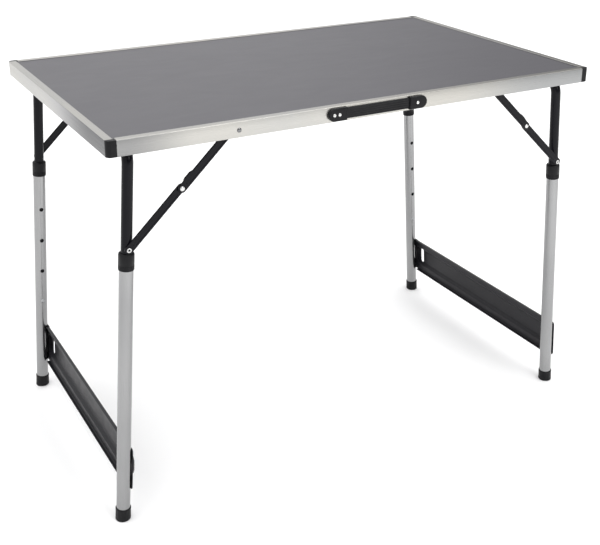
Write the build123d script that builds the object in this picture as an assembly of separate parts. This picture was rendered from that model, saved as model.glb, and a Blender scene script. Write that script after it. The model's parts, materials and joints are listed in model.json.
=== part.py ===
"""Height-adjustable folding work table with an aluminium-framed top and two folding leg pairs.

Frame: millimetres, +Z up, +X to the right along the top, the carrying handle faces -Y.
The origin is on the floor, under the middle of the top.
A leg pair is drawn in its own frame first: the origin on its fold axis, the legs running
down along -Z. leg_place() then tilts it to its splay and puts it under the top.
"""

import math
import os

from build123d import *

# Table top
LENGTH = 1000.0
WIDTH = 600.0
HEIGHT = 730.0
RAIL_HEIGHT = 28.0
RAIL_LIP = 14.0
RAIL_WALL = 1.5
LIP_THICK = 1.2
PANEL_THICK = 5.0
RAIL_FOOT = 10.0
CAP_LONG = 17.0
CAP_SHORT = 9.0
CAP_RADIUS = 8.5

# Leg pairs
STEP = 70.0
HEIGHT_STEPS = 3
SPLAY = 4.0
PIVOT_X = 452.0
PIVOT_DEPTH = 21.0
LEG_Y = 262.0
INNER_R = 9.75
INNER_WALL = 1.2
OUTER_R = 12.5
OUTER_WALL = 1.0
BEND_R = 36.0
INNER_END = 532.0
BUTTON_AT = 502.0
BUTTON_R = 4.0
BUTTON_OUT = 13.9
COLLAR_TOP = 188.0
COLLAR_LENGTH = 31.0
COLLAR_R = 13.8
FOOT_TOP = 686.0
FOOT_R = 14.0
FOOT_INSERT = 21.0
CROSSBAR_TOP = 566.0
CROSSBAR_BOTTOM = 650.0

# Braces
BRACE_AT = 180.0
BRACE_X = 272.0
BRACE_DEPTH = 15.0
LINK_HALF = 7.5
LINK_THICK = 2.5
LOWER_LINK_Y = LEG_Y + 10.6
UPPER_LINK_Y = LEG_Y + 15.4
EAR_AT = 22.0
EAR_LENGTH = 26.0
EAR_CORNER = 7.0
EAR_OUT = {"left": 2.4, "right": 1.2}
SHOULDER_R = 5.5
SHOULDER_GAP = 0.2
SPACER_R = 5.0

# Rivets
RIVET_R = 3.0
RIVET_HEAD_R = 4.2
RIVET_RISE = 1.6
RIVET_SMALL_R = 2.0
SMALL_HEAD_R = 3.6
SMALL_HEAD_THICK = 1.2
RAIL_PIVOT_R = 2.4
RAIL_PIVOT_COLLAR = 0.8
BLIND_TAIL_TOP = 7.2
BLIND_TAIL = 3.0

# Fold axis bearings
PLATE_WIDTH = 38.0
PLATE_THICK = 1.5
SADDLE_Y = 150.0
SADDLE_LENGTH = 46.0
SADDLE_HALF_WIDTH = 12.0
SADDLE_UNDER = 3.5
SADDLE_CORNER = 9.0
SADDLE_RIVET_X = 16.0
SADDLE_WELL = 8.0

# Carrying handle
HANDLE_LENGTH = 206.0
HANDLE_CAP = 37.0
HANDLE_CAP_HEIGHT = 23.5
HANDLE_CAP_THICK = 6.5
HANDLE_CAP_CORNER = 1.6
HANDLE_GRIPPED = 8.0
HANDLE_PLAY = 4.0
HANDLE_SCREW_IN = 21.0
HANDLE_SCREW_OUT = 10.5
HANDLE_SCREW_HEAD_R = 3.2
HANDLE_SCREW_RISE = 1.4
STRAP_WIDTH = 20.0
STRAP_THICK = 3.0
STRAP_OFF_RAIL = 0.5
STRAP_SLACK = 0.4
RIB_RISE = 0.5
RIB_WIDTH = 2.0

# Crossbar
CROSSBAR_THICK = 1.5
CROSSBAR_PAST = 9.0
CROSSBAR_HEM = 7.0
DISH_REACH = 267.0
DISH_TALL = 50.0
CROSSBAR_SLOT = (12.0, 38.0)
DISH_DEEP = 7.0
DISH_TAPER = 25.0

# Snap springs, in the inner legs; the places are from the leg's axis towards its partner
SPRING_NEAR = 5.5
SPRING_FAR = -7.9
SPRING_WIDTH = 6.0
SPRING_THICK = 0.8
SPRING_LENGTH = 42.0

# Fits
RUNNING = 0.05
FREE = 0.1

SIDES = {"left": -1, "right": 1}
ENDS = {"front": -1, "rear": 1}
PIVOT_Z = HEIGHT - PIVOT_DEPTH
TUBE_INNER_R = OUTER_R - OUTER_WALL
PANEL_TOP = HEIGHT - LIP_THICK
PANEL_BOTTOM = PANEL_TOP - PANEL_THICK
GROOVE_BOTTOM = PANEL_BOTTOM - LIP_THICK
PLATE_BOTTOM = GROOVE_BOTTOM - PLATE_THICK
SADDLE_BOTTOM = PIVOT_Z - INNER_R - SADDLE_UNDER


def save(node, shape):
    """Write one sub-part to parts/NODE.step."""
    solids = shape.solids()
    body = solids[0] if len(solids) == 1 else Compound(children=solids)
    export_step(body, f"parts/{node}.step")


def block(x, y, z):
    """A box between two values on each axis."""
    size = (x[1] - x[0], y[1] - y[0], z[1] - z[0])
    middle = ((x[0] + x[1]) / 2, (y[0] + y[1]) / 2, (z[0] + z[1]) / 2)
    return Pos(*middle) * Box(*size)


def rod_y(x, y, z, radius):
    """A round rod along Y between y[0] and y[1]."""
    low, high = sorted(y)
    turn = Location((x, (low + high) / 2, z), (90, 0, 0))
    return turn * Cylinder(radius, high - low)


def dome_y(x, y, z, radius, rise):
    """A low domed rivet head that grows from y along its rise."""
    ball_r = (radius * radius + rise * rise) / (2 * abs(rise))
    centre = y + rise - math.copysign(ball_r, rise)
    ball = Pos(x, centre, z) * Sphere(ball_r)
    return ball & rod_y(x, (y, y + 1.5 * rise), z, radius)


def turned(points):
    """A solid of revolution about Z from (radius, z) points."""
    outline = Plane.XZ * make_face(Polyline(*points, close=True))
    return revolve(outline, Axis.Z)


def leg_place(side):
    """Where a leg pair's own frame sits: on its fold axis, tilted outward by its splay."""
    sign = SIDES[side]
    return Location((sign * PIVOT_X, 0, PIVOT_Z), (0, -sign * SPLAY, 0))


# ---------------------------------------------------------------- table top


def rail_profile():
    """Rail section seen along the rail: X runs inward from the outer face, Y is down to the floor."""
    web = Pos(RAIL_WALL / 2, RAIL_HEIGHT / 2) * Rectangle(RAIL_WALL, RAIL_HEIGHT)
    lip = Pos(RAIL_LIP / 2, LIP_THICK / 2) * Rectangle(RAIL_LIP, LIP_THICK)
    groove_y = LIP_THICK + PANEL_THICK + LIP_THICK / 2
    groove = Pos(RAIL_LIP / 2, groove_y) * Rectangle(RAIL_LIP - 1, LIP_THICK)
    foot_y = RAIL_HEIGHT - LIP_THICK / 2
    foot = Pos(RAIL_FOOT / 2 + 1, foot_y) * Rectangle(RAIL_FOOT, LIP_THICK)
    section = web + lip + groove + foot
    nose = section.vertices().sort_by_distance((0, 0, 0))[0]
    return fillet(nose, 1.0)


def long_rail(sign):
    """Front or back rail, along X."""
    length = LENGTH - 2 * CAP_LONG
    plane = Plane((0, sign * WIDTH / 2, HEIGHT), x_dir=(0, -sign, 0), z_dir=(sign, 0, 0))
    rail = extrude(plane * rail_profile(), length / 2, both=True)
    web = sorted((sign * (WIDTH / 2 - RAIL_WALL - 1), sign * (WIDTH / 2 + 1)))
    for side in (-1, 1):
        rail -= rod_y(side * BRACE_X, web, HEIGHT - BRACE_DEPTH, RAIL_PIVOT_R)
    if sign < 0:
        for x in handle_screw_places(-1) + handle_screw_places(1):
            rail -= rod_y(x, web, HEIGHT - RAIL_HEIGHT / 2, RIVET_SMALL_R)
    return rail


def end_rail(sign):
    """Left or right rail, along Y."""
    length = WIDTH - 2 * CAP_SHORT
    plane = Plane((sign * LENGTH / 2, -length / 2, HEIGHT), x_dir=(-sign, 0, 0), z_dir=(0, -sign, 0))
    return extrude(plane * rail_profile(), -sign * length)


def table_panel():
    """Laminated board held in the rails' grooves, notched at its corners for the caps."""
    x, y = LENGTH / 2 - RAIL_WALL, WIDTH / 2 - RAIL_WALL
    board = block((-x, x), (-y, y), (PANEL_BOTTOM, PANEL_TOP))
    notch = Box(2 * (CAP_LONG - RAIL_WALL), 2 * (CAP_SHORT - RAIL_WALL), 4 * PANEL_THICK)
    for sx in (-1, 1):
        for sy in (-1, 1):
            board -= Pos(sx * x, sy * y, PANEL_TOP) * notch
    return board


def corner_cap(sx, sy):
    """Plastic corner with a rounded edge and a tongue into each rail."""
    x, y = sx * LENGTH / 2, sy * WIDTH / 2
    low = HEIGHT - RAIL_HEIGHT
    cap = block(sorted((x, x - sx * CAP_LONG)), sorted((y, y - sy * CAP_SHORT)), (low, HEIGHT))
    upright = cap.edges().filter_by(Axis.Z).sort_by_distance((x, y, HEIGHT))[0]
    cap = fillet(upright, CAP_RADIUS)
    for face in (cap.faces().sort_by(Axis.Z)[-1], cap.faces().sort_by(Axis.Z)[0]):
        cap = fillet(face.edges().filter_by(GeomType.CIRCLE), 0.8)
    tongue_z = (low + LIP_THICK + FREE, GROOVE_BOTTOM - FREE)
    inset = RAIL_WALL + FREE
    into_long = sorted((x - sx * (CAP_LONG - 1), x - sx * (CAP_LONG + 12)))
    cap += block(into_long, sorted((y - sy * inset, y - sy * CAP_SHORT)), tongue_z)
    into_end = sorted((y - sy * (CAP_SHORT - 1), y - sy * (CAP_SHORT + 12)))
    cap += block(sorted((x - sx * inset, x - sx * RAIL_FOOT)), into_end, tongue_z)
    return cap


def pivot_plate(sign):
    """Steel strip across the rails' grooves that carries one fold axis."""
    strip = Rectangle(PLATE_WIDTH, WIDTH - 2 * RAIL_WALL)
    for saddle_y in (-SADDLE_Y, SADDLE_Y):
        for dx in (-SADDLE_RIVET_X, SADDLE_RIVET_X):
            strip -= Pos(dx, saddle_y) * Circle(RIVET_SMALL_R)
    return extrude(Plane((sign * PIVOT_X, 0, PLATE_BOTTOM)) * strip, PLATE_THICK)


def pivot_saddle(sign, y):
    """Plastic bearing block that the fold axis turns in."""
    x = sign * PIVOT_X
    half = SADDLE_LENGTH / 2
    sides = (y - SADDLE_HALF_WIDTH, y + SADDLE_HALF_WIDTH)
    saddle = block((x - half, x + half), sides, (SADDLE_BOTTOM, PLATE_BOTTOM))
    edges = saddle.edges().filter_by(Axis.Y).group_by(Axis.Z)[0]
    saddle = fillet(edges, SADDLE_CORNER)
    saddle -= rod_y(x, (sides[0] - 1, sides[1] + 1), PIVOT_Z, INNER_R + RUNNING)
    for dx in (-SADDLE_RIVET_X, SADDLE_RIVET_X):
        saddle -= Pos(x + dx, y, PIVOT_Z) * Cylinder(RIVET_SMALL_R, SADDLE_LENGTH)
        head_well = Cylinder(2 * RIVET_SMALL_R, SADDLE_WELL)
        saddle -= Pos(x + dx, y, SADDLE_BOTTOM + SADDLE_WELL / 2) * head_well
    return saddle


def saddle_rivets():
    """Rivets that hold the saddles to their strips."""
    rivets = []
    for sign in (-1, 1):
        for y in (-SADDLE_Y, SADDLE_Y):
            for dx in (-SADDLE_RIVET_X, SADDLE_RIVET_X):
                x = sign * PIVOT_X + dx
                head_z = SADDLE_BOTTOM + SADDLE_WELL
                length = GROOVE_BOTTOM - head_z
                shank = Pos(x, y, head_z + length / 2) * Cylinder(RIVET_SMALL_R, length)
                head = Cylinder(SMALL_HEAD_R, SMALL_HEAD_THICK)
                rivets.append(shank + Pos(x, y, head_z - SMALL_HEAD_THICK / 2) * head)
    return Compound(children=rivets)


def rail_rivets():
    """Pivot rivets of the braces: through the long rail's web, its spacer and the upper link."""
    rivets = []
    for sx in (-1, 1):
        for sy in (-1, 1):
            x, z = sx * BRACE_X, HEIGHT - BRACE_DEPTH
            inner = sy * (UPPER_LINK_Y - RAIL_PIVOT_COLLAR - FREE)
            outer = sy * WIDTH / 2
            rivet = rod_y(x, (inner, outer), z, RAIL_PIVOT_R)
            rivet += rod_y(x, (inner, inner + sy * RAIL_PIVOT_COLLAR), z, RAIL_PIVOT_R + RAIL_PIVOT_COLLAR)
            if sx < 0:
                rivet += dome_y(x, outer, z, RIVET_HEAD_R, sy * RIVET_RISE)
            rivets.append(rivet)
    return Compound(children=rivets)


def rail_spacers():
    """Tubes that hold each upper link clear of its rail."""
    spacers = []
    for sx in (-1, 1):
        for sy in (-1, 1):
            near = sy * (UPPER_LINK_Y + LINK_THICK + RUNNING)
            far = sy * (WIDTH / 2 - RAIL_WALL)
            x, z = sx * BRACE_X, HEIGHT - BRACE_DEPTH
            spacers.append(rod_y(x, (near, far), z, SPACER_R) - rod_y(x, (near, far), z, RAIL_PIVOT_R))
    return Compound(children=spacers)


# ---------------------------------------------------------------- carrying handle


def handle_strap():
    """Ribbed plastic strap, free to slide a little inside its end caps."""
    z = HEIGHT - RAIL_HEIGHT / 2
    half = HANDLE_LENGTH / 2 - HANDLE_CAP + HANDLE_GRIPPED
    face = -WIDTH / 2 - STRAP_OFF_RAIL
    strap = block((-half, half), (face - STRAP_THICK, face), (z - STRAP_WIDTH / 2, z + STRAP_WIDTH / 2))
    strap = fillet(strap.edges().filter_by(Axis.X), 0.8)
    open_half = HANDLE_LENGTH / 2 - HANDLE_CAP - HANDLE_PLAY - 2
    for row in (-1.5, -0.5, 0.5, 1.5):
        rib_z = z + row * STRAP_WIDTH / 5
        y = face - STRAP_THICK
        tall = (rib_z - RIB_WIDTH / 2, rib_z + RIB_WIDTH / 2)
        strap += block((-open_half, open_half), (y - RIB_RISE, y + RIB_RISE), tall)
    return strap


def handle_cap(sign):
    """Round-ended cover that clamps the rail and leaves a slot for the strap."""
    z = HEIGHT - RAIL_HEIGHT / 2
    radius = HANDLE_CAP_HEIGHT / 2
    end = sign * HANDLE_LENGTH / 2
    inner = end - sign * HANDLE_CAP
    plane = Plane((0, -WIDTH / 2, z), x_dir=(1, 0, 0), z_dir=(0, -1, 0))
    straight = abs(end - inner) - radius
    outline = Pos(inner + sign * straight / 2, 0) * Rectangle(straight, 2 * radius)
    outline += Pos(end - sign * radius, 0) * Circle(radius)
    cap = extrude(plane * outline, HANDLE_CAP_THICK)
    cap = fillet(cap.faces().sort_by(Axis.Y)[0].edges(), HANDLE_CAP_CORNER)
    slot_end = inner + sign * (HANDLE_GRIPPED + HANDLE_PLAY + 1)
    slot_x = sorted((inner - sign, slot_end))
    slot_y = (-WIDTH / 2 - STRAP_OFF_RAIL - STRAP_THICK - STRAP_SLACK, -WIDTH / 2 + 1)
    slot_z = (z - STRAP_WIDTH / 2 - STRAP_SLACK, z + STRAP_WIDTH / 2 + STRAP_SLACK)
    cap -= block(slot_x, slot_y, slot_z)
    for x in handle_screw_places(sign):
        cap -= rod_y(x, (-WIDTH / 2 - 20, -WIDTH / 2 + 1), z, RIVET_SMALL_R)
    return cap


def handle_screw_places(sign):
    """Where one cap's screws stand along the rail; the left cap has two."""
    end = sign * HANDLE_LENGTH / 2
    depths = (HANDLE_SCREW_IN, HANDLE_SCREW_OUT) if sign < 0 else (HANDLE_SCREW_IN,)
    return [end - sign * depth for depth in depths]


def handle_screws():
    """Domed screws through the end caps and the rail's web."""
    z = HEIGHT - RAIL_HEIGHT / 2
    face = -WIDTH / 2 - HANDLE_CAP_THICK
    screws = []
    for sign in (-1, 1):
        for x in handle_screw_places(sign):
            shank = rod_y(x, (face - FREE, -WIDTH / 2 + RAIL_WALL + 2), z, RIVET_SMALL_R)
            screws.append(shank + dome_y(x, face, z, HANDLE_SCREW_HEAD_R, -HANDLE_SCREW_RISE))
    return Compound(children=screws)


# ---------------------------------------------------------------- leg pairs


def across(end):
    """Direction along Y from a leg towards its partner: +1 on the front leg, -1 on the rear."""
    return -ENDS[end]


def frame_tube():
    """Bent steel tube: two inner legs and the fold axis between them."""
    path = FilletPolyline(
        (0, -LEG_Y, -INNER_END), (0, -LEG_Y, 0), (0, LEG_Y, 0), (0, LEG_Y, -INNER_END), radius=BEND_R
    )
    start = Plane((0, -LEG_Y, -INNER_END), z_dir=(0, 0, 1))
    ring = Circle(INNER_R) - Circle(INNER_R - INNER_WALL)
    tube = sweep(start * ring, path=path)
    for end, sy in ENDS.items():
        y, q = sy * LEG_Y, across(end)
        tube -= rod_y(0, (y, y + q * 2 * INNER_R), -BUTTON_AT, BUTTON_R + 0.3)
        tube -= rod_y(0, (y, y + sy * 2 * INNER_R), -BRACE_AT, RIVET_R)
    return tube


def tube_glides():
    """Plastic plugs in the inner legs' open ends, which run inside the outer tubes."""
    stem = INNER_R - INNER_WALL
    run = TUBE_INNER_R - FREE
    profile = [
        (0, -INNER_END + 14), (stem, -INNER_END + 14), (stem, -INNER_END), (run, -INNER_END),
        (run, -INNER_END - 5), (run - 1, -INNER_END - 6), (0, -INNER_END - 6),
    ]
    plug = turned(profile)
    return Compound(children=[Pos(0, sy * LEG_Y, 0) * plug for sy in (-1, 1)])


def snap_springs():
    """Fixed half of each V spring: the bend and the leaf that rests on the tube's far wall."""
    springs = []
    bend_z = -(BUTTON_AT - SPRING_LENGTH)
    mean = (SPRING_FAR + SPRING_NEAR) / 2
    for end, sy in ENDS.items():
        q = across(end)
        outer, inner = abs(SPRING_NEAR - mean), abs(SPRING_NEAR - mean) - SPRING_THICK
        ring = Cylinder(outer, SPRING_WIDTH) - Cylinder(inner, SPRING_WIDTH)
        ring = Rot(0, 90, 0) * ring
        bend = ring & Pos(0, 0, outer) * Box(SPRING_WIDTH, 2 * outer + 1, 2 * outer)
        bend = Pos(0, sy * LEG_Y + q * mean, bend_z + 0.5) * bend
        y = sy * LEG_Y + q * SPRING_FAR
        leaf_y = sorted((y, y + q * SPRING_THICK))
        leaf = block((-SPRING_WIDTH / 2, SPRING_WIDTH / 2), leaf_y, (bend_z - 40, bend_z + 0.5))
        springs.append(bend + leaf)
    return Compound(children=springs)


def snap_button(end):
    """Button on the moving leaf of the V spring; it stands through both tubes."""
    y, q = ENDS[end] * LEG_Y, across(end)
    bend_z = -(BUTTON_AT - SPRING_LENGTH)
    leaf_y = sorted((y + q * (SPRING_NEAR - SPRING_THICK), y + q * SPRING_NEAR))
    leaf = block((-SPRING_WIDTH / 2, SPRING_WIDTH / 2), leaf_y, (-BUTTON_AT - 5, bend_z))
    tip = y + q * BUTTON_OUT
    body = rod_y(0, (y + q * (SPRING_NEAR - 0.3), tip - q * 1.6), -BUTTON_AT, BUTTON_R)
    nose = dome_y(0, tip - q * 1.6, -BUTTON_AT, BUTTON_R, q * 1.6)
    return leaf + body + nose


def leg_rivets():
    """Blind rivets in the inner legs' outer walls that the lower links turn on."""
    rivets = []
    for sy in (-1, 1):
        tail_top = sy * (LEG_Y + BLIND_TAIL_TOP)
        tail_end = tail_top - sy * BLIND_TAIL
        outer = sy * (LOWER_LINK_Y + LINK_THICK + RUNNING)
        rivet = rod_y(0, (tail_end, outer), -BRACE_AT, RIVET_R)
        rivet += rod_y(0, (tail_end, tail_top), -BRACE_AT, RIVET_HEAD_R)
        rivet += dome_y(0, outer, -BRACE_AT, RIVET_HEAD_R, sy * RIVET_RISE)
        rivets.append(rivet)
    return Compound(children=rivets)


def outer_tube(end):
    """Aluminium lower leg with a row of height holes facing its partner."""
    top, bottom = COLLAR_TOP + 4, FOOT_TOP + FOOT_INSERT
    y, q = ENDS[end] * LEG_Y, across(end)
    middle = -(top + bottom) / 2
    tube = Pos(0, y, middle) * (Cylinder(OUTER_R, bottom - top) - Cylinder(TUBE_INNER_R, bottom - top))
    for step in range(HEIGHT_STEPS + 1):
        tube -= rod_y(0, (y, y + q * 2 * OUTER_R), -BUTTON_AT + step * STEP, BUTTON_R + 0.25)
    for z in crossbar_rivet_heights():
        tube -= Pos(OUTER_R, y, z) * Rot(0, 90, 0) * Cylinder(RIVET_SMALL_R, 2 * OUTER_R)
    return tube


def collar(end):
    """Plastic sleeve on the outer tube's top that guides the inner leg."""
    bore = INNER_R + FREE
    top, bottom = -COLLAR_TOP, -COLLAR_TOP - COLLAR_LENGTH
    seat = top - 4
    profile = [
        (bore, top), (COLLAR_R - 2.8, top), (COLLAR_R, top - 3.2), (COLLAR_R, bottom + 0.8),
        (COLLAR_R - 0.8, bottom), (OUTER_R, bottom), (OUTER_R, seat), (TUBE_INNER_R, seat),
        (TUBE_INNER_R, bottom + 6), (bore, bottom + 6),
    ]
    return Pos(0, ENDS[end] * LEG_Y, 0) * turned(profile)


def foot(end, side):
    """Plastic shoe, cut level where it meets the floor."""
    y = ENDS[end] * LEG_Y
    length = 40.0
    shoe = Pos(0, y, -FOOT_TOP - length / 2) * Cylinder(FOOT_R, length)
    shoe -= Pos(0, y, -FOOT_TOP - FOOT_INSERT / 2) * Cylinder(OUTER_R, FOOT_INSERT)
    shoe = leg_place(side) * shoe
    shoe -= Pos(SIDES[side] * PIVOT_X, y, -50) * Box(300, 100, 100)
    shoe = fillet(shoe.faces().sort_by(Axis.Z)[0].edges(), 2.5)
    rim = shoe.edges().filter_by(GeomType.CIRCLE).group_by(Axis.Z)[-1].sort_by(SortBy.LENGTH)[-1]
    return fillet(rim, 0.6)


def crossbar_rivet_heights():
    """Heights of the two rivets at each end of a crossbar."""
    return (-CROSSBAR_TOP - 8, -CROSSBAR_BOTTOM + 8)


def crossbar():
    """Pressed steel stretcher on the +X side of its two legs, with a long dished recess."""
    face = OUTER_R
    top, bottom = -CROSSBAR_TOP, -CROSSBAR_BOTTOM
    middle, tall = (top + bottom) / 2, top - bottom
    plane = Plane((face, 0, middle), x_dir=(0, 1, 0), z_dir=(1, 0, 0))
    reach = LEG_Y + CROSSBAR_PAST
    plate = extrude(plane * RectangleRounded(2 * reach, tall, 6), CROSSBAR_THICK)
    dish_plane = plane.offset(CROSSBAR_THICK)
    shell = CROSSBAR_THICK / math.cos(math.radians(DISH_TAPER))
    outer = RectangleRounded(2 * DISH_REACH, DISH_TALL, DISH_TALL / 2 - 4)
    plate += extrude(dish_plane * outer, DISH_DEEP, taper=DISH_TAPER)
    inner = RectangleRounded(2 * (DISH_REACH - shell), DISH_TALL - 2 * shell, DISH_TALL / 2 - 4 - shell)
    plate -= extrude(plane * inner, DISH_DEEP, taper=DISH_TAPER)
    hem = LEG_Y - OUTER_R - 2
    for z in (top - CROSSBAR_THICK / 2, bottom + CROSSBAR_THICK / 2):
        plate += block((face - CROSSBAR_HEM, face + 0.5), (-hem, hem), (z - 1, z + 1))
    slot = Box(60, *CROSSBAR_SLOT)
    for sy in (-1, 1):
        plate -= Pos(face, sy * (LEG_Y - OUTER_R - CROSSBAR_SLOT[0]), middle) * slot
        for z in crossbar_rivet_heights():
            plate -= Pos(face, sy * LEG_Y, z) * Rot(0, 90, 0) * Cylinder(RIVET_SMALL_R, 20)
    return plate


def crossbar_rivets():
    """Blind rivets that hold the crossbar to its legs."""
    rivets = []
    for sy in (-1, 1):
        for z in crossbar_rivet_heights():
            head_x = OUTER_R + CROSSBAR_THICK
            length = head_x - TUBE_INNER_R + 1
            shank = Pos(head_x - length / 2, sy * LEG_Y, z) * Rot(0, 90, 0) * Cylinder(RIVET_SMALL_R, length)
            head = Rot(0, 90, 0) * Cylinder(SMALL_HEAD_R, SMALL_HEAD_THICK)
            rivets.append(shank + Pos(head_x + SMALL_HEAD_THICK / 2, sy * LEG_Y, z) * head)
    return Compound(children=rivets)


# ---------------------------------------------------------------- folding braces


def leg_point(side, distance):
    """(x, z) of a point on a leg's axis, this far from the fold axis."""
    angle = math.radians(SPLAY)
    x = SIDES[side] * (PIVOT_X + math.sin(angle) * distance)
    return x, PIVOT_Z - math.cos(angle) * distance


def brace_points(side):
    """(x, z) of the leg rivet, the elbow and the rail rivet, with the brace straight."""
    leg = leg_point(side, BRACE_AT)
    rail = (SIDES[side] * BRACE_X, HEIGHT - BRACE_DEPTH)
    elbow = ((leg[0] + rail[0]) / 2, (leg[1] + rail[1]) / 2)
    return leg, elbow, rail


def link_plane(side, end, start, towards, y):
    """Plane on a link's inner face: X along the link, Z outward from the table's middle."""
    sy = ENDS[end]
    x_dir = (towards[0] - start[0], 0, towards[1] - start[1])
    return Plane((start[0], sy * y, start[1]), x_dir=x_dir, z_dir=(0, sy, 0))


def flat_link(length):
    """Outline of a flat link with round ends, from one pivot to the next."""
    shape = Pos(length / 2, 0) * Rectangle(length, 2 * LINK_HALF)
    return shape + Circle(LINK_HALF) + Pos(length, 0) * Circle(LINK_HALF)


def lower_link(side, end):
    """Flat link from the leg rivet up to the elbow."""
    leg, elbow, rail = brace_points(side)
    plane = link_plane(side, end, leg, elbow, LOWER_LINK_Y)
    link = extrude(plane * flat_link(math.dist(leg, elbow)), LINK_THICK)
    return link - rod_y(leg[0], (-WIDTH, WIDTH), leg[1], RIVET_R + RUNNING)


def upper_link(side, end):
    """Flat link from the elbow up to the rail, with a stop ear above the elbow on the corner's side."""
    leg, elbow, rail = brace_points(side)
    corner = SIDES[side] * ENDS[end]
    plane = link_plane(side, end, elbow, rail, UPPER_LINK_Y)
    ear = Pos(EAR_AT, corner * EAR_OUT[side]) * RectangleRounded(EAR_LENGTH, 2 * LINK_HALF, EAR_CORNER)
    link = extrude(plane * (flat_link(math.dist(elbow, rail)) + ear), LINK_THICK)
    link -= rod_y(rail[0], (-WIDTH, WIDTH), rail[1], RAIL_PIVOT_R + RUNNING)
    return link - rod_y(elbow[0], (-WIDTH, WIDTH), elbow[1], RIVET_R)


def elbow_rivet(side, end):
    """Shouldered rivet at the elbow, fixed in the upper link."""
    leg, elbow, rail = brace_points(side)
    sy = ENDS[end]
    shoulder = sy * (LOWER_LINK_Y + LINK_THICK + SHOULDER_GAP)
    link_face = sy * UPPER_LINK_Y
    outer = sy * (UPPER_LINK_Y + LINK_THICK)
    rivet = rod_y(elbow[0], (shoulder, link_face), elbow[1], SHOULDER_R)
    rivet += rod_y(elbow[0], (link_face - sy, outer), elbow[1], RIVET_R)
    return rivet + dome_y(elbow[0], outer, elbow[1], RIVET_HEAD_R, sy * RIVET_RISE)


def main():
    """Write every sub-part."""
    os.makedirs("parts", exist_ok=True)
    save("table_panel", table_panel())
    save("front_rail", long_rail(-1))
    save("back_rail", long_rail(1))
    save("left_rail", end_rail(-1))
    save("right_rail", end_rail(1))
    for end, sy in ENDS.items():
        for side, sx in SIDES.items():
            save(f"{end}_{side}_corner_cap", corner_cap(sx, sy))
    save("saddle_rivets", saddle_rivets())
    save("rail_pivot_rivets", rail_rivets())
    save("rail_pivot_spacers", rail_spacers())
    save("handle_strap", handle_strap())
    for side, sx in SIDES.items():
        save(f"handle_{side}_cap", handle_cap(sx))
    save("handle_screws", handle_screws())
    for side, sx in SIDES.items():
        save(f"{side}_pivot_plate", pivot_plate(sx))
        saddles = [pivot_saddle(sx, y) for y in (-SADDLE_Y, SADDLE_Y)]
        save(f"{side}_pivot_saddles", Compound(children=saddles))
        place = leg_place(side)
        save(f"{side}_frame_tube", place * frame_tube())
        save(f"{side}_tube_glides", place * tube_glides())
        save(f"{side}_snap_springs", place * snap_springs())
        save(f"{side}_leg_rivets", place * leg_rivets())
        save(f"{side}_crossbar", place * crossbar())
        save(f"{side}_crossbar_rivets", place * crossbar_rivets())
        for end in ENDS:
            save(f"{side}_{end}_snap_button", place * snap_button(end))
            save(f"{side}_{end}_outer_tube", place * outer_tube(end))
            save(f"{side}_{end}_collar", place * collar(end))
            save(f"{side}_{end}_foot", foot(end, side))
            save(f"{side}_{end}_lower_link", lower_link(side, end))
            save(f"{side}_{end}_upper_link", upper_link(side, end))
            save(f"{side}_{end}_elbow_rivet", elbow_rivet(side, end))


if __name__ == "__main__":
    main()
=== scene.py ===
import json
import math

import bmesh
import bpy
from mathutils import Matrix, Vector


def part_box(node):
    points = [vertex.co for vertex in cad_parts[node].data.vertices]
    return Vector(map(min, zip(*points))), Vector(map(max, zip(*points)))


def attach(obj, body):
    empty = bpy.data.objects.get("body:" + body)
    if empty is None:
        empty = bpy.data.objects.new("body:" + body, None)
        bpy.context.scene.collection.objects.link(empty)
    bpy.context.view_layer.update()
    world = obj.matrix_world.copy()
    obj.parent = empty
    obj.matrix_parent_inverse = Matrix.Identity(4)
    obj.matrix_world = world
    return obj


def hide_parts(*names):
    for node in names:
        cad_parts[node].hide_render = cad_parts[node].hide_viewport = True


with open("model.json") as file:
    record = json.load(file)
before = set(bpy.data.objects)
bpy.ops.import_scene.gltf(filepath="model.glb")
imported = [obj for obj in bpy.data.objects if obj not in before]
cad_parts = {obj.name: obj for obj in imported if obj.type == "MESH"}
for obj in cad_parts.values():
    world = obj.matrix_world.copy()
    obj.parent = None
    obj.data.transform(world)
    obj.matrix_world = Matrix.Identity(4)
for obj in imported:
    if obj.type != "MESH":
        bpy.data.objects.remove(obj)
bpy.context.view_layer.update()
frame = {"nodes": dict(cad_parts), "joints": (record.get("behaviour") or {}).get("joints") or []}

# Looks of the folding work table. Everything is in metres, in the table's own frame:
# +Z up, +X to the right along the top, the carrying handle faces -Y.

MM = 0.001
SIDES = {"left": -1, "right": 1}
ENDS = {"front": -1, "rear": 1}
JOINTS = {joint["name"]: joint for joint in frame["joints"]}
CORNER_STEPS = 4

# Camera
CAMERA_PLACE = (-0.967387, -1.752916, 1.220514)
CAMERA_YAW = math.radians(29.150)
CAMERA_PITCH = math.radians(20.378)
CAMERA_ROLL = math.radians(0.236)
CAMERA_LENS = 61.24
CAMERA_SENSOR = 36
CAMERA_SHIFT_Y = -0.15

# Studio: each span is how far a direction leans to SKY_SIDE, or straight up, where the sky changes
FLOOR_HALF = 14.0
FLOOR_TONES = ((0.95, 0.95, 0.95), (0.97, 0.97, 0.97))
SKY_SIDE = (-0.85, 0.5, 0.1)
SKY_SIDE_SPAN = (-0.26, 0.1)
SKY_HEIGHT_SPAN = (0.3, 0.75)
SKY_DIM = (0.1, 0.1, 0.105)
SKY_LEVEL = (1.0, 1.0, 1.01)
SKY_TOP = (1.75, 1.75, 1.75)
KEY_PLACE = (0.8, -3.1, 1.9)
KEY_TARGET = (0.7, -2.0, 0)
KEY_SIZE = 1.9
KEY_POWER = 46

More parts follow.
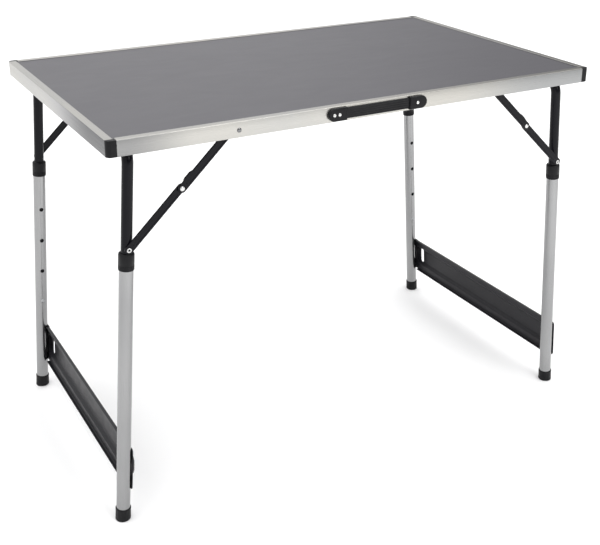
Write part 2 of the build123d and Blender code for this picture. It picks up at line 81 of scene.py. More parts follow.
# Aluminium rail section, from its outer top corner: inward, down, corner radius
RAIL_SECTION_MM = (
    (0, 0, 1.1), (14, 0, 0.55), (14, 1.2, 0.5), (1.5, 1.2, 0.3), (1.5, 6.2, 0.3), (13, 6.2, 0.5),
    (13, 7.4, 0.5), (1.5, 7.4, 0.6), (1.5, 26.8, 0.6), (11, 26.8, 0.5), (11, 28, 0.5), (0, 28, 0.9),
)

# Braces
LINK_HALF = 7.5 * MM
LINK_EDGE = 0.45 * MM
CHANNEL_HALF = 4.3 * MM
CHANNEL_DEPTH = 0.55 * MM
CHANNEL_SIDE = 0.9 * MM
CHANNEL_INSET = 15 * MM
EAR_AT = 22 * MM
EAR_HALF = 13 * MM
EAR_CORNER = 7 * MM
EAR_OUT = {"left": 2.4 * MM, "right": 1.2 * MM}

# Colours, linear: each pair is the two tones a surface drifts between
PANEL_GREY = ((0.036, 0.034, 0.043), (0.041, 0.039, 0.048))
ALUMINIUM = ((0.44, 0.428, 0.396), (0.4, 0.395, 0.378))
LEG_ALUMINIUM = ((0.35, 0.35, 0.351), (0.29, 0.291, 0.294))

# How rough every noise is, and how far a bevelled normal leans from its face along an edge
NOISE_ROUGHNESS = 0.55
EDGE_SPAN = (0.86, 0.995)

# Painted shade on the rails: where their upright faces fade to a darker tone, standing in for shade and dim
# reflections: from, to, tone
RAIL_X_PAINTED_SHADE = ((0.16, 0.4, (0.3, 0.304, 0.304)), (-0.34, -0.47, (0.24, 0.24, 0.238)))
RAIL_Y_PAINTED_SHADE = ((0.1, -0.12, (0.36, 0.355, 0.36)), (0.0, -0.22, (0.085, 0.085, 0.088)))

# Rivets
RIVET_HEAD_R = 4.2 * MM
RIVET_SHANK_R = 2.9 * MM
RIVET_WELL_R = 1.9 * MM
RIVET_WELL_DEEP = 2.2 * MM
RIVET_RING_FLAT = 0.55
RIVET_TAIL = 3 * MM
RIVET_TAIL_ROUND = 1.5 * MM
RAIL_RIVET_HEAD_R = 4.1 * MM
RAIL_RIVET_SHANK_R = 2.3 * MM
RAIL_RIVET_SUNK = 0.3 * MM
RAIL_WASHER = ((2.2 * MM, 0), (3.1 * MM, 0.1 * MM), (3.1 * MM, 0.7 * MM), (2.2 * MM, 0.8 * MM))

# Handle
STRAP_RIDGES = 5
RIDGE_RISE = 0.55 * MM
RIDGE_FADE = 1.5 * MM
GRIP_FROM_CAP = 5 * MM
STRAP_EDGE = 0.6 * MM
CAP_ROUND = 2.2 * MM
CAP_FOOT = (0.25 * MM, 0.4 * MM)
CAP_SLOT_GAP = 0.45 * MM
CAP_SLOT_FLOOR = 0.2 * MM
CAP_SLOT_PAST = 4.6 * MM
SCREW_HEAD_R = 3.1 * MM
SCREW_SHANK_R = 1.9 * MM

# Legs
TUBE_WALL = 1.2 * MM
TUBE_BEND = 36 * MM
COLLAR_WALL = 3.9 * MM
COLLAR_ROUND = 3.4 * MM
COLLAR_FOOT_ROUND = 1.1 * MM
COLLAR_RINGS_MM = (9.5, 6.9, 4.3)
COLLAR_RING_DEEP = 0.4 * MM
COLLAR_SKIRT = 1.35 * MM
COLLAR_SKIRT_TALL = 6 * MM
FOOT_STEPS = 72
FOOT_FLUTES = 12
FOOT_FLUTE_DEEP = 0.35 * MM
FOOT_SOCKET = 20 * MM
FOOT_RIM_ROUND = 1.1 * MM
FOOT_SOLE_ROUND = 2.4 * MM
FOOT_GROOVES_MM = (4.4, 7, 9.6)
FOOT_GROOVE_DEEP = 0.8 * MM

# Crossbar
SHEET = 1.5 * MM
DISH_REACH = 267 * MM
DISH_HALF = 25 * MM
DISH_CORNER = 20 * MM
DISH_DEEP = 7 * MM
DISH_WALL = 7 * MM
HEM_DEEP = 7 * MM
HEM_ROUND = 2.4 * MM
HEM_GAP = 2 * MM
HEM_STRIPS = 2
PLATE_CORNER = 6 * MM
PLATE_ROWS = 44
SLOT_WIDE = 12 * MM
SLOT_TALL = 38 * MM
SLOT_CORNER = 5 * MM


# ---------------------------------------------------------------- mesh helpers


def leg_place(side):
    """Frame of a leg pair: the origin on its fold axis, +Y along that axis, +Z up the legs."""
    up = Vector(JOINTS[f"{side}_extend"]["axis"]).normalized()
    across = Vector((0, 1, 0))
    place = Matrix((across.cross(up), across, up)).transposed().to_4x4()
    place.translation = Vector(JOINTS[f"{side}_fold"]["pos_m"])
    return place


def box_in(place, node):
    """Lowest and highest corners of a CAD node, measured in another frame."""
    turn = place.inverted()
    points = [turn @ vertex.co for vertex in frame["nodes"][node].data.vertices]
    return Vector(map(min, zip(*points))), Vector(map(max, zip(*points)))


def centre_of(low, high):
    """Middle of a box."""
    return tuple((a + b) / 2 for a, b in zip(low, high))


def along_y(low, high, out):
    """A box's two ends in Y, the one that faces out last."""
    return (low.y, high.y) if out > 0 else (high.y, low.y)


def axis_place(origin, direction):
    """Frame whose +Z points along a direction, for pieces turned about it."""
    place = Vector(direction).to_track_quat("Z", "Y").to_matrix().to_4x4()
    place.translation = Vector(origin)
    return place


def rounded(corners):
    """Closed outline from (x, y, radius) corners, each rounded by its own radius."""
    outline = []
    for index, (x, y, radius) in enumerate(corners):
        corner = Vector((x, y))
        before = (Vector(corners[index - 1][:2]) - corner).normalized()
        after = (Vector(corners[(index + 1) % len(corners)][:2]) - corner).normalized()
        half = before.angle(after) / 2
        centre = corner + (before + after).normalized() * (radius / math.sin(half))
        start = corner + before * (radius / math.tan(half)) - centre
        end = corner + after * (radius / math.tan(half)) - centre
        for step in range(CORNER_STEPS + 1):
            outline.append(centre + start.lerp(end, step / CORNER_STEPS).normalized() * radius)
    return outline


def extrude_outline(bm, outline, place_at, low, high):
    """A closed prism: place_at(u, v, w) turns outline points and the two ends into space."""
    rows = [[bm.verts.new(place_at(u, v, w)) for u, v in outline] for w in (low, high)]
    bridge(bm, rows)
    bm.faces.new(rows[0][::-1])
    bm.faces.new(rows[1])


def bridge(bm, rows, around=True, wrap=False):
    """Quads between neighbouring rows of vertices; a row of one vertex is a pole."""
    pairs = list(zip(rows, rows[1:]))
    if wrap:
        pairs.append((rows[-1], rows[0]))
    for low, high in pairs:
        count = max(len(low), len(high))
        for k in range(count if around else count - 1):
            j = (k + 1) % count
            corners = (low[k % len(low)], low[j % len(low)], high[j % len(high)], high[k % len(high)])
            bm.faces.new(list(dict.fromkeys(corners)))


def turned(bm, profile, place, steps, wrap=False):
    """A solid of revolution about the frame's Z, from (radius, height) points."""
    rows = []
    for radius, height in profile:
        if radius < 1e-7:
            rows.append([bm.verts.new(place @ Vector((0, 0, height)))])
            continue
        row = []
        for step in range(steps):
            angle = 2 * math.pi * step / steps
            point = Vector((radius * math.cos(angle), radius * math.sin(angle), height))
            row.append(bm.verts.new(place @ point))
        rows.append(row)
    bridge(bm, rows, wrap=wrap)


def bow(centre, radius, start, end, steps):
    """Points of an arc between two angles in degrees, ends included."""
    points = []
    for step in range(steps + 1):
        angle = math.radians(start + (end - start) * step / steps)
        points.append((centre[0] + radius * math.cos(angle), centre[1] + radius * math.sin(angle)))
    return points


def add_piece(name, bm, look, body, nodes, sharp=32.0):
    """Turn a finished bmesh into a piece that rides on a body and stands for its CAD nodes."""
    bmesh.ops.remove_doubles(bm, verts=bm.verts, dist=1e-6)
    bmesh.ops.recalc_face_normals(bm, faces=bm.faces)
    mesh = bpy.data.meshes.new(name)
    bm.to_mesh(mesh)
    bm.free()
    mesh.materials.append(look)
    piece = bpy.data.objects.new(name, mesh)
    bpy.context.scene.collection.objects.link(piece)
    smooth(mesh, sharp)
    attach(piece, body)
    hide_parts(*nodes)
    return piece


def smooth(mesh, sharp):
    """Smooth shading, with edges sharper than an angle kept crisp."""
    mesh.shade_smooth()
    mesh.set_sharp_from_angle(angle=math.radians(sharp))


def bake_modifiers(piece, sharp=32.0):
    """Keep a piece's modified shape as its own mesh."""
    evaluated = piece.evaluated_get(bpy.context.evaluated_depsgraph_get())
    mesh = bpy.data.meshes.new_from_object(evaluated)
    piece.modifiers.clear()
    piece.data = mesh
    smooth(mesh, sharp)


def cut(piece, bm):
    """Cut a closed shape out of a piece."""
    bmesh.ops.recalc_face_normals(bm, faces=bm.faces)
    mesh = bpy.data.meshes.new("cutter")
    bm.to_mesh(mesh)
    bm.free()
    cutter = bpy.data.objects.new("cutter", mesh)
    bpy.context.scene.collection.objects.link(cutter)
    hole = piece.modifiers.new("hole", "BOOLEAN")
    hole.operation = "DIFFERENCE"
    hole.solver = "EXACT"
    hole.object = cutter
    bpy.context.view_layer.update()
    bake_modifiers(piece)
    bpy.data.objects.remove(cutter)
    bpy.data.meshes.remove(mesh)


# ---------------------------------------------------------------- material helpers


def mix_colours(nodes, links, share, first, second):
    """Colour between two, each a colour or another node's output."""
    node = nodes.new("ShaderNodeMix")
    node.data_type = "RGBA"
    links.new(share, node.inputs["Factor"])
    for socket, colour in ((node.inputs[6], first), (node.inputs[7], second)):
        if isinstance(colour, tuple):
            socket.default_value = (*colour, 1)
        else:
            links.new(colour, socket)
    return node.outputs[2]


def smooth_ramp(nodes, links, value, start, end):
    """0 to 1 as a value goes from start to end, smooth at both ends."""
    node = nodes.new("ShaderNodeMapRange")
    node.interpolation_type = "SMOOTHSTEP"
    node.inputs["From Min"].default_value = start
    node.inputs["From Max"].default_value = end
    links.new(value, node.inputs["Value"])
    return node.outputs["Result"]


class Look:
    """A material under construction: a principled shader and the nodes that feed it."""

    def __init__(self, name, colour, roughness, metallic=0.0):
        self.material = bpy.data.materials.new(name)
        self.material.use_nodes = True
        self.nodes = self.material.node_tree.nodes
        self.links = self.material.node_tree.links
        self.shader = self.nodes["Principled BSDF"]
        self.shader.inputs["Base Color"].default_value = (*colour, 1)
        self.shader.inputs["Roughness"].default_value = roughness
        self.shader.inputs["Metallic"].default_value = metallic
        self.place = self.nodes.new("ShaderNodeTexCoord").outputs["Object"]
        self.normal = None

    def stretched(self, scale):
        """Object coordinates, scaled by axis."""
        mapping = self.nodes.new("ShaderNodeMapping")
        mapping.inputs["Scale"].default_value = scale
        self.links.new(self.place, mapping.inputs["Vector"])
        return mapping.outputs["Vector"]

    def noise(self, scale, detail, stretch=(1, 1, 1), twist=0.0):
        """Fractal noise from 0 to 1."""
        texture = self.nodes.new("ShaderNodeTexNoise")
        texture.inputs["Scale"].default_value = scale
        texture.inputs["Detail"].default_value = detail
        texture.inputs["Roughness"].default_value = NOISE_ROUGHNESS
        texture.inputs["Distortion"].default_value = twist
        self.links.new(self.stretched(stretch), texture.inputs["Vector"])
        return texture.outputs["Fac"]

    def pebble(self, scale):
        """Small rounded cells, as on a grained mould."""
        texture = self.nodes.new("ShaderNodeTexVoronoi")
        texture.inputs["Scale"].default_value = scale
        self.links.new(self.place, texture.inputs["Vector"])
        return texture.outputs["Distance"]

    def spread(self, value, low, high, start=0.3, end=0.7):
        """Map a value's start..end onto low..high."""
        node = self.nodes.new("ShaderNodeMapRange")
        for socket, number in (("From Min", start), ("From Max", end), ("To Min", low), ("To Max", high)):
            node.inputs[socket].default_value = number
        self.links.new(value, node.inputs["Value"])
        return node.outputs["Result"]

    def times(self, first, second):
        """Product of two values."""
        node = self.nodes.new("ShaderNodeMath")
        node.operation = "MULTIPLY"
        self.links.new(first, node.inputs[0])
        self.links.new(second, node.inputs[1])
        return node.outputs["Value"]

    def blend_colours(self, share, first, second):
        """Colour between two, each a colour or another node's output."""
        return mix_colours(self.nodes, self.links, share, first, second)

    def edges(self, radius):
        """1 along an edge of this size, 0 on open faces."""
        bevel = self.nodes.new("ShaderNodeBevel")
        bevel.inputs["Radius"].default_value = radius
        face = self.nodes.new("ShaderNodeNewGeometry")
        dot = self.nodes.new("ShaderNodeVectorMath")
        dot.operation = "DOT_PRODUCT"
        self.links.new(bevel.outputs["Normal"], dot.inputs[0])
        self.links.new(face.outputs["Normal"], dot.inputs[1])
        return self.spread(dot.outputs["Value"], 1, 0, *EDGE_SPAN)

    def ramp(self, source, axis, start, end):
        """0 to 1 along one axis of a vector output, smooth at both ends."""
        split = self.nodes.new("ShaderNodeSeparateXYZ")
        self.links.new(source, split.inputs["Vector"])
        return smooth_ramp(self.nodes, self.links, split.outputs[axis], start, end)

    def facing_up(self):
        """1 on faces that look up, 0 on upright ones."""
        face = self.nodes.new("ShaderNodeNewGeometry")
        return self.ramp(face.outputs["Normal"], "Z", 0.4, 0.9)

    def colour(self, output):
        """Take the base colour from a node's output."""
        self.links.new(output, self.shader.inputs["Base Color"])

    def roughness(self, output):
        """Take the roughness from a node's output."""
        self.links.new(output, self.shader.inputs["Roughness"])

    def bump(self, height, strength, distance):
        """Add a relief on top of those added before."""
        node = self.nodes.new("ShaderNodeBump")
        node.inputs["Strength"].default_value = strength
        node.inputs["Distance"].default_value = distance
        self.links.new(height, node.inputs["Height"])
        if self.normal:
            self.links.new(self.normal, node.inputs["Normal"])
        self.normal = node.outputs["Normal"]
        self.links.new(self.normal, self.shader.inputs["Normal"])


def laminate():
    """Dark grey laminate: a fine stipple under an even satin finish."""
    look = Look("grey_laminate", PANEL_GREY[0], 0.46)
    mottle = look.noise(7, detail=5)
    speck = look.noise(1400, detail=1)
    base = look.blend_colours(look.spread(mottle, 0, 1), *PANEL_GREY)
    pale = tuple(1.7 * c for c in PANEL_GREY[1])
    look.colour(look.blend_colours(look.spread(speck, 0, 0.3, 0.58, 0.72), base, pale))
    rub = look.noise(11, detail=6, stretch=(1, 2.4, 1), twist=0.8)
    look.roughness(look.spread(rub, 0.445, 0.475))
    look.shader.inputs["Specular IOR Level"].default_value = 0.9
    look.bump(look.pebble(900), 0.14, 0.12 * MM)
    look.bump(look.noise(2600, detail=1), 0.08, 0.05 * MM)
    return look.material


def brushed(name, colour, shade, roughness, stretch, axis=None, painted_shade=()):
    """Satin aluminium with drawing lines along its length and a slow drift in tone.

    Each stretch of painted shade is (start, end, colour): along the axis, upright faces fade into that
    darker colour, while faces that look up keep the unshaded tone.
    """
    look = Look(name, colour, roughness, metallic=1.0)
    lines = look.noise(1, detail=3, stretch=stretch)
    drift = look.noise(4.5, detail=2)
    unshaded = look.blend_colours(look.spread(drift, 0, 1), shade, colour)
    tone = unshaded
    # Painted shade: along the axis the colour darkens towards the given tones, standing in for shade and
    # dim reflections on the rails
    for start, end, shaded_tone in painted_shade:
        tone = look.blend_colours(look.ramp(look.place, axis, start, end), tone, shaded_tone)
    # Only upright faces take the painted shade; faces that look up keep the unshaded tone
    if painted_shade:
        tone = look.blend_colours(look.facing_up(), tone, unshaded)
    else:
        tone = look.blend_colours(look.spread(lines, 0, 0.3), tone, tuple(0.85 * c for c in shade))
    look.colour(tone)
    look.roughness(look.spread(lines, roughness - 0.05, roughness + 0.07))
    look.bump(lines, 0.12, 0.04 * MM)
    look.bump(look.noise(1800, detail=1), 0.05, 0.02 * MM)
    return look.material


def enamel(name, colour, worn, roughness, gloss):
    """Stoved paint: orange peel, slightly rubbed edges."""
    look = Look(name, colour, roughness)
    look.shader.inputs["Specular IOR Level"].default_value = gloss
    rub = look.times(look.edges(0.9 * MM), look.spread(look.noise(90, detail=4), 0, 1, 0.45, 0.7))
    cloud = look.blend_colours(look.spread(look.noise(16, detail=3), 0, 1), colour, worn)
    tone = look.blend_colours(look.spread(look.noise(300, detail=2), 0, 0.25), colour, cloud)
    look.colour(look.blend_colours(look.spread(rub, 0, 0.5, 0, 1), tone, tuple(2 * c + 0.01 for c in worn)))
    look.roughness(look.spread(look.noise(40, detail=5), roughness - 0.04, roughness + 0.06))
    look.bump(look.noise(420, detail=1), 0.16, 0.08 * MM)
    return look.material


def moulded(name, colour, worn, roughness, grain):
    """Injection-moulded plastic: spark-eroded grain, matt rubbed edges."""
    look = Look(name, colour, roughness)
    look.shader.inputs["Specular IOR Level"].default_value = 0.17
    rub = look.times(look.edges(0.8 * MM), look.spread(look.noise(150, detail=4), 0.2, 1, 0.4, 0.65))
    tone = look.blend_colours(look.spread(look.noise(60, detail=4), 0, 1), colour, worn)
    look.colour(look.blend_colours(look.spread(rub, 0, 0.6, 0, 1), tone, tuple(2.2 * c for c in worn)))
    look.roughness(look.spread(look.noise(500, detail=3), roughness - 0.06, roughness + 0.1))
    look.bump(look.pebble(grain), 0.25, 0.06 * MM)
    return look.material


def bright_steel(name, colour, roughness):
    """Plated fastener steel: fine scratches and matt spots."""
    look = Look(name, colour, roughness, metallic=1.0)
    spots = look.noise(700, detail=4)
    look.colour(look.blend_colours(look.spread(spots, 0, 1), tuple(0.75 * c for c in colour), colour))
    look.roughness(look.spread(spots, roughness + 0.12, roughness - 0.04))
    look.bump(look.noise(1500, detail=2, twist=1.5), 0.1, 0.03 * MM)
    return look.material


LOOKS = {
    "grey_laminate": laminate(),
    # The rail looks carry painted shade: their upright faces darken towards some ends of each rail
    "rail_along_x": brushed("rail_along_x", *ALUMINIUM, 0.3, (5, 1400, 1400), "X", RAIL_X_PAINTED_SHADE),
    "rail_along_y": brushed("rail_along_y", *ALUMINIUM, 0.3, (1400, 5, 1400), "Y", RAIL_Y_PAINTED_SHADE),
    "leg_aluminium": brushed("leg_aluminium", *LEG_ALUMINIUM, 0.19, (1200, 1200, 6)),
    "black_enamel": enamel("black_enamel", (0.0025, 0.0025, 0.0045), (0.004, 0.004, 0.0065), 0.22, 0.15),
    "charcoal_enamel": enamel("charcoal_enamel", (0.012, 0.0115, 0.014), (0.017, 0.0165, 0.019), 0.34, 0.2),
    "black_plastic": moulded("black_plastic", (0.004, 0.004, 0.005), (0.007, 0.007, 0.008), 0.4, 1700),
    "strap_plastic": moulded("strap_plastic", (0.005, 0.005, 0.006), (0.009, 0.009, 0.01), 0.38, 2200),
    "foot_rubber": moulded("foot_rubber", (0.004, 0.004, 0.005), (0.008, 0.008, 0.009), 0.46, 1300),
    "rivet_steel": bright_steel("rivet_steel", (0.7, 0.7, 0.69), 0.24),
    # The rail rivets' steel is much darker than the other rivets: painted shade, standing in for the dark
    # reflection these rivet heads show
    "rail_rivet_shaded_steel": bright_steel("rail_rivet_shaded_steel", (0.2, 0.2, 0.205), 0.16),
    "zinc_steel": bright_steel("zinc_steel", (0.45, 0.46, 0.47), 0.34),
    "spring_steel": bright_steel("spring_steel", (0.35, 0.35, 0.36), 0.3),
}


# ---------------------------------------------------------------- table top


def rail(node):
    """Extruded edge rail with its lip, panel groove, web and foot."""
    low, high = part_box(node)
    along = 0 if high.x - low.x > high.y - low.y else 1
    across = 1 - along
    outward = 1 if low[across] + high[across] > 0 else -1
    face = high[across] if outward > 0 else low[across]

    def place_at(inward, down, at):
        point = Vector((0, 0, high.z - down))
        point[along] = at
        point[across] = face - outward * inward
        return point

    bm = bmesh.new()
    section = rounded([tuple(MM * value for value in corner) for corner in RAIL_SECTION_MM])
    extrude_outline(bm, section, place_at, low[along], high[along])
    look = LOOKS["rail_along_x" if along == 0 else "rail_along_y"]
    add_piece(node + "_extrusion", bm, look, "tabletop", [node], sharp=50)


# ---------------------------------------------------------------- carrying handle


def handle_cap(side):
    """Cushioned cover over each end of the strap, with a slot that the strap slides in."""
    node = f"handle_{side}_cap"
    low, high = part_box(node)
    sign = SIDES[side]
    radius = (high.z - low.z) / 2
    middle = (high.z + low.z) / 2
    inner = high.x if sign < 0 else low.x
    outer = low.x if sign < 0 else high.x
    centre = outer - sign * radius
    bm = bmesh.new()
    rows = []
    for inset, height in [(CAP_FOOT[0], 0), (0, CAP_FOOT[1])] + [
        (CAP_ROUND * (1 - math.cos(a)), high.y - low.y - CAP_ROUND * (1 - math.sin(a)))
        for a in (math.pi / 2 * step / 6 for step in range(7))
    ]:
        outline = [(inner + sign * inset, middle - radius + inset)]
        for x, z in bow((0, middle), radius - inset, -90, 90, 22):
            outline.append((centre + sign * x, z))
        outline.append((inner + sign * inset, middle + radius - inset))
        rows.append([bm.verts.new((x, high.y - height, z)) for x, z in outline])
    bridge(bm, rows)
    bm.faces.new(rows[0])
    bm.faces.new(rows[-1])
    piece = add_piece(node + "_cover", bm, LOOKS["black_plastic"], "tabletop", [node])
    strap_low, strap_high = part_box("handle_strap")
    mouth = inner - sign * 2 * MM
    reach = (strap_high.x if sign > 0 else strap_low.x) + sign * CAP_SLOT_PAST
    bottom, top = strap_low.z - CAP_SLOT_GAP, strap_high.z + CAP_SLOT_GAP
    corners = ((mouth, bottom), (reach, bottom), (reach, top), (mouth, top))
    outline = rounded([(x, z, 0.4 * MM) for x, z in corners])
    slot = bmesh.new()
    ends = (strap_low.y + CAP_SLOT_FLOOR, high.y + MM)
    extrude_outline(slot, outline, lambda x, z, y: Vector((x, y, z)), *ends)
    cut(piece, slot)


def handle_strap():
    """Flat strap with rounded ridges along its grip."""
    low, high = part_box("handle_strap")
    half_tall = (high.z - low.z) / 2
    middle = (high.z + low.z) / 2
    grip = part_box("handle_right_cap")[0].x - GRIP_FROM_CAP
    back, front = high.y, low.y + RIDGE_RISE
    half = [(high.x, 0), (grip, 0), (grip - RIDGE_FADE, 1)]
    lines = [(-x, share) for x, share in half] + [(0, 1)] + half[::-1]
    steps = 10 * STRAP_RIDGES
    bm = bmesh.new()
    rows = []
    for x, share in lines:
        row = []
        for step in range(steps + 1):
            across = step / steps
            lobe = abs(math.sin(math.pi * STRAP_RIDGES * across)) ** 0.7
            edge = min(1, 12 * across, 12 * (1 - across)) ** 0.5
            y = back + (front - back) * (0.45 + 0.55 * edge) - RIDGE_RISE * lobe * share
            row.append(bm.verts.new((x, y, middle + half_tall * (2 * across - 1))))
        row.append(bm.verts.new((x, back - STRAP_EDGE, middle + half_tall)))
        row.append(bm.verts.new((x, back, middle + half_tall - STRAP_EDGE)))
        row.append(bm.verts.new((x, back, middle - half_tall + STRAP_EDGE)))
        row.append(bm.verts.new((x, back - STRAP_EDGE, middle - half_tall)))
        rows.append(row)
    bridge(bm, rows)
    bm.faces.new(rows[0])
    bm.faces.new(rows[-1])
    add_piece("handle_strap_ribbed", bm, LOOKS["strap_plastic"], "carry_strap",
              ["handle_strap"], sharp=60)


def islands(node):
    """Box of each separate solid in a CAD node."""
    mesh = frame["nodes"][node].data
    bm = bmesh.new()
    bm.from_mesh(mesh)
    bmesh.ops.remove_doubles(bm, verts=bm.verts, dist=1e-6)
    left = set(bm.verts)
    boxes = []
    while left:
        waiting = [left.pop()]
        group = []
        while waiting:
            vertex = waiting.pop()
            group.append(vertex.co.copy())
            for link in vertex.link_edges:
                other = link.other_vert(vertex)
                if other in left:
                    left.remove(other)
                    waiting.append(other)
        boxes.append((Vector(map(min, zip(*group))), Vector(map(max, zip(*group)))))
    bm.free()
    return sorted(boxes, key=lambda box: tuple(box[0]))


def domed_head(radius, rise, shank, length):
    """Profile of a rivet or screw: a pressed dome with a small rim, then its shank."""
    rim = 0.22 * rise
    dome = [(radius * math.sin(a), rim + (rise - rim) * math.cos(a))
            for a in (math.pi / 2 * step / 8 for step in range(9))]
    return [(0, rise)] + dome[1:] + [(radius, 0), (shank, 0), (shank, -length), (0, -length)]


def hollow_head(radius, rise, shank, length):
    """Profile of a semi-tubular rivet: a rolled ring round a dark well, then its shank."""
    well = RIVET_WELL_R
    lip = (radius - well) / 2
    base = rise - lip * RIVET_RING_FLAT
    arc = bow((well + lip, base), lip, 180, 0, 8)
    ring = [(r, base + (h - base) * RIVET_RING_FLAT) for r, h in arc]
    bottom = rise - RIVET_WELL_DEEP
    stem = [(radius, 0), (shank, 0), (shank, -length), (0, -length)]
    return [(0, bottom), (well * 0.85, bottom)] + ring + stem


def handle_screws():
    """Domed screws that hold the caps to the rail."""
    bm = bmesh.new()
    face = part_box("handle_left_cap")[0].y
    for low, high in islands("handle_screws"):
        x, _, z = centre_of(low, high)
        profile = domed_head(SCREW_HEAD_R, face - low.y, SCREW_SHANK_R, high.y - face)
        turned(bm, profile, axis_place((x, face, z), (0, -1, 0)), 28)
    add_piece("handle_screws_domed", bm, LOOKS["rivet_steel"], "tabletop",
              ["handle_screws"], 50)


def rail_pivot_rivets():
    """Rivets through the long rails' webs that the upper links turn on: domed, or sunk in the web."""
    bm = bmesh.new()
    shank = RAIL_RIVET_SHANK_R
    for low, high in islands("rail_pivot_rivets"):
        x, _, z = centre_of(low, high)
        out = 1 if low.y > 0 else -1
        face = along_y(*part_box("back_rail" if out > 0 else "front_rail"), out)[1]
        root, tip = along_y(low, high, out)
        rise, deep = abs(tip - face), abs(face - root)
        if rise > 0.5 * MM:
            profile = domed_head(RAIL_RIVET_HEAD_R, rise, shank, deep)
        else:
            profile = [(0, -RAIL_RIVET_SUNK), (shank, -RAIL_RIVET_SUNK), (shank, -deep), (0, -deep)]
        turned(bm, profile, axis_place((x, face, z), (0, out, 0)), 28)
        turned(bm, RAIL_WASHER, axis_place((x, root, z), (0, out, 0)), 28, wrap=True)
    add_piece("rail_pivot_rivets_set", bm, LOOKS["rail_rivet_shaded_steel"], "tabletop",
              ["rail_pivot_rivets"], 50)


# ---------------------------------------------------------------- legs


def collar(side, end, place):
    """Moulded sleeve at the top of a lower leg, with a stepped skirt and grip rings."""
    node = f"{side}_{end}_collar"
    low, high = box_in(place, node)
    radius = (high.x - low.x) / 2
    x, y, _ = centre_of(low, high)
    bore, skirt = radius - COLLAR_WALL, radius - COLLAR_SKIRT
    top, bottom = high.z, low.z
    profile = [(bore, top)]
    profile += bow((radius - COLLAR_ROUND, top - COLLAR_ROUND), COLLAR_ROUND, 78, 0, 8)
    for height in COLLAR_RINGS_MM:
        z = bottom + height * MM
        profile += [(radius, z + 0.5 * MM), (radius - COLLAR_RING_DEEP, z), (radius, z - 0.5 * MM)]
    round_at = (radius - COLLAR_FOOT_ROUND, bottom + COLLAR_FOOT_ROUND)
    profile += bow(round_at, COLLAR_FOOT_ROUND, 0, -90, 5)
    profile += [(skirt, bottom), (skirt, bottom + COLLAR_SKIRT_TALL), (bore, bottom + COLLAR_SKIRT_TALL)]
    bm = bmesh.new()
    turned(bm, profile, place @ Matrix.Translation((x, y, 0)), 56, wrap=True)
    body = f"{side}_lower_legs"
    add_piece(node + "_sleeve", bm, LOOKS["black_plastic"], body, [node], 45)


def foot(side, end, place):
    """Shoe with a thick rolled rim, shallow flutes and a grooved sole cut level with the floor."""
    node = f"{side}_{end}_foot"
    low, high = box_in(place, node)
    radius = (high.y - low.y) / 2
    middle_y = centre_of(low, high)[1]
    tube_low, tube_high = box_in(place, f"{side}_{end}_outer_tube")
    bore = (tube_high.y - tube_low.y) / 2
    top = high.z
    floor_z = -place.translation.z
    up = place.to_3x3() @ Vector((0, 0, 1))
    over = place.to_3x3() @ Vector((1, 0, 0))
    fluted = radius - FOOT_FLUTE_DEEP

    # Each ring: radius, height or else height above the floor, and 1 where it has flutes
    rings = [(0, top - FOOT_SOCKET, None, 0), (bore, top - FOOT_SOCKET, None, 0)]
    rings.append((bore, top - 0.5 * MM, None, 0))
    rim = bow((radius - FOOT_RIM_ROUND, top - FOOT_RIM_ROUND), FOOT_RIM_ROUND, 110, 0, 6)
    rings += [(r, z, None, 0) for r, z in rim]
    rings += [(radius, top - 3.2 * MM, None, 0), (fluted, top - 4 * MM, None, 1)]
    rings += [(fluted, None, 5.5 * MM, 1), (radius, None, 4.6 * MM, 0)]
    sole_edge = bow((radius - FOOT_SOLE_ROUND, FOOT_SOLE_ROUND), FOOT_SOLE_ROUND, -8, -90, 6)
    rings += [(r, None, h, 0) for r, h in sole_edge]
    for inset in FOOT_GROOVES_MM:
        r = radius - inset * MM
        groove = ((0, 0), (0.5 * MM, FOOT_GROOVE_DEEP), (1.3 * MM, FOOT_GROOVE_DEEP), (1.8 * MM, 0))
        rings += [(r - inward, None, deep, 0) for inward, deep in groove]

    bm = bmesh.new()
    rows = []
    for r, z, above_floor, flutes in rings:
        row = []
        for step in range(FOOT_STEPS if r > 1e-7 else 1):
            angle = 2 * math.pi * step / FOOT_STEPS
            swell = flutes * FOOT_FLUTE_DEEP * (0.5 + 0.5 * math.cos(FOOT_FLUTES * angle))
            x, y = (r + swell) * math.cos(angle), (r + swell) * math.sin(angle)
            height = z if z is not None else (floor_z + above_floor - over.z * x) / up.z
            row.append(bm.verts.new(place @ Vector((x, middle_y + y, height))))
        rows.append(row)
    bridge(bm, rows)
    bm.faces.new(rows[-1])
    body = f"{side}_lower_legs"
    add_piece(node + "_shoe", bm, LOOKS["foot_rubber"], body, [node], 40)


def frame_tube(side, place):
    """Bent tube: the two inner legs and the fold axis between them, open at its lower ends."""
    node = f"{side}_frame_tube"
    low, high = box_in(place, node)
    radius = high.z
    reach = high.y - radius
    path = [(-reach, low.z), (-reach, low.z / 2), (-reach, -TUBE_BEND)]
    path += bow((-reach + TUBE_BEND, -TUBE_BEND), TUBE_BEND, 180, 90, 16)[1:]
    path += bow((reach - TUBE_BEND, -TUBE_BEND), TUBE_BEND, 90, 0, 16)
    path += [(reach, low.z / 2), (reach, low.z)]
    steps = 40
    rows = {radius: [], radius - TUBE_WALL: []}
    bm = bmesh.new()
    for index, (y, z) in enumerate(path):
        before, after = path[max(index - 1, 0)], path[min(index + 1, len(path) - 1)]
        along = Vector((0, after[0] - before[0], after[1] - before[1])).normalized()
        side_way = along.cross(Vector((1, 0, 0)))
        for r, ring_rows in rows.items():
            ring = []
            for step in range(steps):
                angle = 2 * math.pi * step / steps
                offset = Vector((r * math.cos(angle), 0, 0)) + side_way * (r * math.sin(angle))
                ring.append(bm.verts.new(place @ (Vector((0, y, z)) + offset)))
            ring_rows.append(ring)
    outer, inner = rows.values()
    bridge(bm, outer + inner[::-1], wrap=True)
    body = f"{side}_leg_frame"
    add_piece(node + "_bent", bm, LOOKS["black_enamel"], body, [node], 40)


